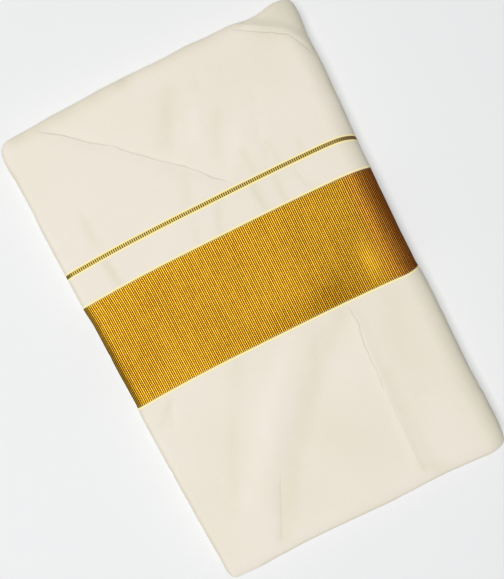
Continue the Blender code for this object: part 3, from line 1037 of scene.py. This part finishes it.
def thread_cells(add, place):
    """The number of the thread at a place, and how high its round back stands there, from 0 to 1."""
    number = add("Math", place, operation="FLOOR")
    share = add("Math", place, operation="FRACT")
    turn = add("Math", share, math.pi, operation="MULTIPLY")
    return number, add("Math", turn, operation="SINE")


def zari_material(colours):
    """Woven zari, flat metal thread wound on silk: ribbed, with painted glints from cell to cell and painted
    shade.
    """
    material, surface, add = new_material("woven_zari")
    place, across, along = weave_places(add)
    line_centre = ((LINE_START + LINE_END) / 2 + END) / MM
    in_line = add("Math", along, line_centre, LINE_HALF_WIDTH, operation="COMPARE")
    ribs = (LINE_RIB_SPACING - RIB_SPACING, RIB_SPACING)
    spacing = add("Math", in_line, *ribs, operation="MULTIPLY_ADD")
    rib = add("Math", across, spacing, operation="DIVIDE")
    rib_number, rib_round = thread_cells(add, rib)
    slant = add("Math", rib_number, RIB_SHIFT, operation="MULTIPLY")
    thread = add("Math", along, 1 / THREAD_SPACING, slant, operation="MULTIPLY_ADD")
    thread_number, thread_round = thread_cells(add, thread)
    cell = add("CombineXYZ", rib_number, thread_number)
    glint = add("TexWhiteNoise", cell, noise_dimensions="2D")
    pair = add("Math", rib_number, 2.0, operation="MODULO")
    steps = (0.4, 1.0, 0.0, 1.0)
    rib_top = add("MapRange", rib_round, *steps, interpolation_type="SMOOTHSTEP")
    stretched = add("Mapping", place, named={"Scale": ZARI_STREAK_SCALE})
    streak = add("TexNoise", stretched, 1.0, 2.0)
    tone_and_painted_light = add("Attribute", attribute_name="tone_and_painted_light").outputs["Fac"]
    float_top = add("Math", rib_top, thread_round, operation="MULTIPLY")
    # Painted light and shade: the rib tops get painted light, the gaps painted shade, each cell a painted
    # glint
    # The tops of the ribs and of their threads are painted lightest, and each cell, rib, streak and fold
    # differs
    shares = ((rib_top, 0.48), (float_top, 0.4), (glint, 0.09), (pair, 0.08), (streak, 0.16), (tone_and_painted_light, 0.16))
    light = 0.0
    for part, share in shares:
        light = add("Math", part, share, light, operation="MULTIPLY_ADD")
    # From the painted shade between the ribs, over their shaded sides, to the painted glint on their tops
    ramp = add("ValToRGB", light)
    stops = ramp.color_ramp.elements
    stops[0].position, stops[0].color = 0.1, (*colours.zari_shade, 1)
    stops[1].position, stops[1].color = 1.0, (*colours.zari_glint, 1)
    for position, colour in ((0.375, colours.zari_slope_shade), (0.625, colours.zari)):
        stops.new(position).color = (*colour, 1)
    # The rib tops of the band's outermost threads and of the thin line are paler and duller
    edges = (BAND_START + BAND_RIM, BAND_END - BAND_RIM)
    rim = in_strips(add, along, [((edge + END) / MM, RIM_HALF_WIDTH) for edge in edges], in_line)
    speckled = add("Math", rim, rib_top, operation="MULTIPLY")
    edged = add("Mix", speckled, ramp, (*colours.zari_rim, 1), data_type="RGBA")
    # Painted shade: round the spine the zari is painted redder and duller, and the thin line less so
    from_spine = add("Math", across, SPINE_SHADE_PLACE, operation="SUBTRACT")
    away = add("Math", from_spine, operation="ABSOLUTE")
    turned = add("MapRange", away, SPINE_SHADE_FULL, SPINE_SHADE_REACH, 1.0, 0.0)
    less = add("Math", in_line, -0.6, 1.0, operation="MULTIPLY_ADD")
    share = add("Math", turned, less, operation="MULTIPLY")
    shade_tinted = add("VectorMath", edged, SPINE_SHADE_TINT, operation="MULTIPLY")
    spine_shaded = add("Mix", share, edged, shade_tinted, data_type="RGBA")
    relief = add("Math", thread_round, 0.4, rib_round, operation="MULTIPLY_ADD")
    bump = add("Bump", named={"Strength": 0.5, "Distance": 0.12 * MM, "Height": relief})
    finish = {"Metallic": 0.6, "Roughness": 0.55, "Specular IOR Level": 0.05}
    set_inputs(surface, {"Base Color": spine_shaded, "Normal": bump, **finish})
    return material


def floor_material(colours):
    """Matt white studio board."""
    material, surface, add = new_material("matt_studio_board")
    place = add("TexCoord").outputs["Object"]
    grain = add("TexNoise", place, FLOOR_GRAIN_SCALE, 2.0)
    bump = add("Bump", named={"Strength": 0.05, "Distance": 0.1 * MM, "Height": grain})
    set_inputs(surface, {"Normal": bump, "Base Color": (*colours.floor, 1), "Roughness": 0.9})
    return material


def length_property(name, description, default):
    """A length that a user may change, in metres."""
    return FloatProperty(
        name=name, description=description, default=default, min=0, unit="LENGTH", precision=5
    )


def colour_property(name, description, code):
    """A colour that a user may change."""
    start = linear_colour(code)
    return FloatVectorProperty(
        name=name, description=description, default=start, size=3, min=0, max=1, subtype="COLOR"
    )


class ClothSettings(bpy.types.PropertyGroup):
    """Sizes of the outer layer."""

    step: length_property("Mesh step", "Distance between the cloth's mesh lines", 1.4 * MM)
    thickness: length_property("Cloth thickness", "Thickness of one layer of cloth", 0.4 * MM)
    end_radius: length_property("End fold radius", "Radius of the outer layer's end folds", 0.55 * MM)
    end_tuck: length_property("End tuck", "How far the outer layer is drawn going back inside", 8 * MM)


class EdgeSettings(bpy.types.PropertyGroup):
    """Sizes of the layered edges."""

    loop_depth: length_property("Loop depth", "How deep each fold loop's edge is drawn", 2.6 * MM)
    loop_height: length_property("Loop half height", "Half the height of one fold loop", 0.46 * MM)
    loop_unevenness: length_property("Loop unevenness", "How far a fold loop may lie back", 2.3 * MM)
    selvedge_depth: length_property("Selvedge depth", "How deep each selvedge is drawn", 5 * MM)
    selvedge_height: length_property("Selvedge half height", "Half the height of one selvedge", 0.24 * MM)
    selvedge_unevenness: length_property("Selvedge unevenness", "How far a selvedge may lie back", 2.6 * MM)
    seed: IntProperty(name="Seed", description="Seed of the uneven layers", default=4)


class ColourSettings(bpy.types.PropertyGroup):
    """Colours of the cloth and the studio."""

    cotton: colour_property("Cotton", "Warm white of the plain cloth", "EFE5DB")
    cotton_warm: colour_property("Warm cotton", "Yellower tone of the plain cloth", "ECE4D0")
    edge_thread: colour_property("Edge thread", "Pale yellow threads beside the zari", "FFF0AE")
    zari: colour_property("Zari", "Main tone of the gold thread", "B47C06")
    # The zari's slope, shade and glint colours are painted shade on and between its ribs, and painted glints
    zari_slope_shade: colour_property("Zari slope", "Gold thread on the ribs' sides", "844A06")
    zari_shade: colour_property("Zari shade", "Gold thread between the ribs", "241000")
    zari_glint: colour_property("Zari glint", "Gold thread where it glints", "FFD044")
    zari_rim: colour_property("Zari rim", "Rib tops of the thin line and of the band's rims", "C8B468")
    floor: colour_property("Floor", "Pale studio floor", "EEEEEE")


class SareeSettings(bpy.types.PropertyGroup):
    """Everything that a user may change."""

    cloth: PointerProperty(type=ClothSettings)
    edges: PointerProperty(type=EdgeSettings)
    colours: PointerProperty(type=ColourSettings)


class SAREE_OT_hidden_layers(bpy.types.Operator):
    """Packs the hidden layers as one solid, a little inside their drawn edges"""

    bl_idname = "saree.hidden_layers"
    bl_label = "Hidden layers"

    def execute(self, context):
        material = layer_material(context.scene.saree.colours)
        shape = bmesh.new()
        shape.from_mesh(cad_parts["folded_layers"].data)
        bmesh.ops.remove_doubles(shape, verts=shape.verts, dist=DOUBLES_APART)
        for vertex in shape.verts:
            near_end = END - abs(vertex.co.y)
            if near_end < HIDDEN_FADE:
                inset = HIDDEN_INSET * (1 - max(near_end, 0) / HIDDEN_FADE)
                vertex.co.y -= math.copysign(inset, vertex.co.y)
            if vertex.co.z < SELVEDGES_TOP and vertex.co.x < SELVEDGES_SIDE:
                vertex.co.x += HIDDEN_INSET
        mesh = bpy.data.meshes.new("hidden_layers")
        shape.to_mesh(mesh)
        shape.free()
        fit_piece(place_mesh("hidden_layers", mesh, material), "folded_layers")
        return {"FINISHED"}


class SAREE_OT_fold_loops(bpy.types.Operator):
    """Draws the fold loops of the hidden layers at both short ends"""

    bl_idname = "saree.fold_loops"
    bl_label = "Fold loops"

    def execute(self, context):
        sizes = context.scene.saree.edges
        for name, side in (("lower_fold_loops", -1), ("upper_fold_loops", 1)):
            lines = []
            for loop in range(LOOPS_PER_PASS):
                depth = (loop + 0.5) / LOOPS_PER_PASS * PASS_THICKNESS
                x, z = layer_line(depth, outermost=loop == 0)
                z = sagged(x, z)
                z = z + soft_noise(x / MM, LOOPS_APART * loop + z / MM, LOOP_WAVES) * (z > FLAT_UNDERSIDE)
                lines.append(settled(x, side * (END - LOOP_INSET), z, fold_height(x, side * END)))
            values = {
                "Edge depth": sizes.loop_depth * side,
                "Edge height": sizes.loop_height,
                "Unevenness": sizes.loop_unevenness,
                "Wave length": LOOP_WAVE_LENGTH,
                "Inwards": (0.0, -float(side), 0.0),
                "Seed": float(sizes.seed + side),
            }
            draw_edges(name, lines, values)
        return {"FINISHED"}


class SAREE_OT_selvedges(bpy.types.Operator):
    """Draws the selvedges of the lower layers along the left side and round its corners"""

    bl_idname = "saree.selvedges"
    bl_label = "Selvedges"

    def execute(self, context):
        sizes = context.scene.saree.edges
        random = np.random.RandomState(sizes.seed)
        turn = np.linspace(0, QUARTER_TURN, CORNER_POINTS)
        lines = []
        for layer in range(1, LAYERS_BELOW_GROOVE):
            z = (layer + 0.5) / LAYERS_BELOW_GROOVE * MIDDLE
            reach = END - (SHORTFALL + SHORTFALL_SPREAD * random.random()) * MM
            radius = (CORNER_RADIUS + CORNER_RADIUS_SPREAD * random.random()) * MM
            corner_x = np.append(radius * (1 - np.cos(turn)), radius + CORNER_RUN)
            corner_y = np.append(reach - radius * (1 - np.sin(turn)), np.full(len(CORNER_RUN), reach))
            straight = np.linspace(-reach + radius, reach - radius, SELVEDGE_POINTS)[1:-1]
            x = LEFT + SELVEDGE_INSET - SELVEDGE_PROUD
            x = x + np.concatenate([corner_x[::-1], 0 * straight, corner_x])
            y = np.concatenate([-corner_y[::-1], straight, corner_y])
            lines.append(settled(x, y, sagged(x, z), 0.0))
        values = {
            "Edge depth": sizes.selvedge_depth,
            "Edge height": sizes.selvedge_height,
            "Unevenness": sizes.selvedge_unevenness,
            "Wave length": SELVEDGE_WAVE_LENGTH,
            "Inwards": (1.0, 0.0, 0.0),
            "Seed": float(sizes.seed + SELVEDGE_SEED),
        }
        draw_edges("lower_selvedges", lines, values)
        return {"FINISHED"}


class SAREE_OT_plain_cloth(bpy.types.Operator):
    """Lays the plain cotton stretches of the outer layer"""

    bl_idname = "saree.plain_cloth"
    bl_label = "Plain cotton"

    def execute(self, context):
        settings = context.scene.saree
        material = cotton_material(settings.colours)
        for stretch in PLAIN_STRETCHES:
            lay_stretch(stretch, settings.cloth, COTTON_TONES_AND_SHADE, COTTON_PAINTED_SHADING, material)
        return {"FINISHED"}


class SAREE_OT_zari_cloth(bpy.types.Operator):
    """Lays the gold zari stretches of the outer layer"""

    bl_idname = "saree.zari_cloth"
    bl_label = "Zari band and line"

    def execute(self, context):
        settings = context.scene.saree
        material = zari_material(settings.colours)
        for stretch in ZARI_STRETCHES:
            lay_stretch(stretch, settings.cloth, ZARI_TONES_AND_LIGHT, (), material)
        return {"FINISHED"}


class SAREE_OT_studio(bpy.types.Operator):
    """Sets up the pale floor, the soft light and the camera"""

    bl_idname = "saree.studio"
    bl_label = "Studio"

    def execute(self, context):
        scene = context.scene
        sides = ((-1, -1), (1, -1), (1, 1), (-1, 1))
        corners = [(x * FLOOR_REACH, y * FLOOR_REACH, FLOOR_LEVEL) for x, y in sides]
        floor = new_object("studio_floor", corners, [(0, 1, 2, 3)], floor_material(scene.saree.colours))
        floor.visible_glossy = False
        scene.world = bpy.data.worlds.new("soft_studio")
        scene.world.use_nodes = True
        sky = scene.world.node_tree.nodes["Background"]
        set_inputs(sky, {"Color": SKY_COLOUR, "Strength": SKY_STRENGTH})
        for name, toward, distance, size, energy in LAMPS:
            light = bpy.data.lights.new(name, "AREA")
            light.shape = "SQUARE"
            light.size = size
            light.energy = energy
            lamp = bpy.data.objects.new(name, light)
            lamp.location = tuple(np.array(toward) / np.linalg.norm(toward) * distance)
            lamp.rotation_euler = lamp.location.to_track_quat("Z", "Y").to_euler()
            scene.collection.objects.link(lamp)
        lens = bpy.data.cameras.new("camera")
        lens.sensor_width = SENSOR_WIDTH
        lens.lens = SENSOR_WIDTH * FOCAL_PIXELS / PHOTO_HEIGHT
        lens.clip_start = CLIP_START
        camera = bpy.data.objects.new("camera", lens)
        camera.location = CAMERA_PLACE
        camera.rotation_euler = CAMERA_TURN
        scene.collection.objects.link(camera)
        scene.camera = camera
        scene.view_settings.view_transform = "Standard"
        return {"FINISHED"}


class SAREE_PT_panel(bpy.types.Panel):
    """The sidebar panel that lists the saree's operators and settings"""

    bl_idname = "SAREE_PT_panel"
    bl_label = "Folded Kasavu Saree"
    bl_space_type = "VIEW_3D"
    bl_region_type = "UI"
    bl_category = "Saree"

    def draw(self, context):
        for operator in OPERATORS:
            self.layout.operator(operator.bl_idname)
        settings = context.scene.saree
        for group in (settings.cloth, settings.edges, settings.colours):
            for name in group.__annotations__:
                self.layout.prop(group, name)


SETTINGS = (ClothSettings, EdgeSettings, ColourSettings, SareeSettings)
OPERATORS = (
    SAREE_OT_hidden_layers,
    SAREE_OT_fold_loops,
    SAREE_OT_selvedges,
    SAREE_OT_zari_cloth,
    SAREE_OT_plain_cloth,
    SAREE_OT_studio,
)
CLASSES = (*SETTINGS, *OPERATORS, SAREE_PT_panel)


def register():
    """Adds the settings, the operators and the panel to Blender."""
    for item in CLASSES:
        bpy.utils.register_class(item)
    bpy.types.Scene.saree = PointerProperty(type=SareeSettings)


def unregister():
    """Takes them out again."""
    del bpy.types.Scene.saree
    for item in reversed(CLASSES):
        bpy.utils.unregister_class(item)


def main():
    """Builds the saree and the studio."""
    register()
    bpy.ops.saree.hidden_layers()
    bpy.ops.saree.fold_loops()
    bpy.ops.saree.selvedges()
    bpy.ops.saree.zari_cloth()
    bpy.ops.saree.plain_cloth()
    bpy.ops.saree.studio()


if __name__ == "__main__":
    main()
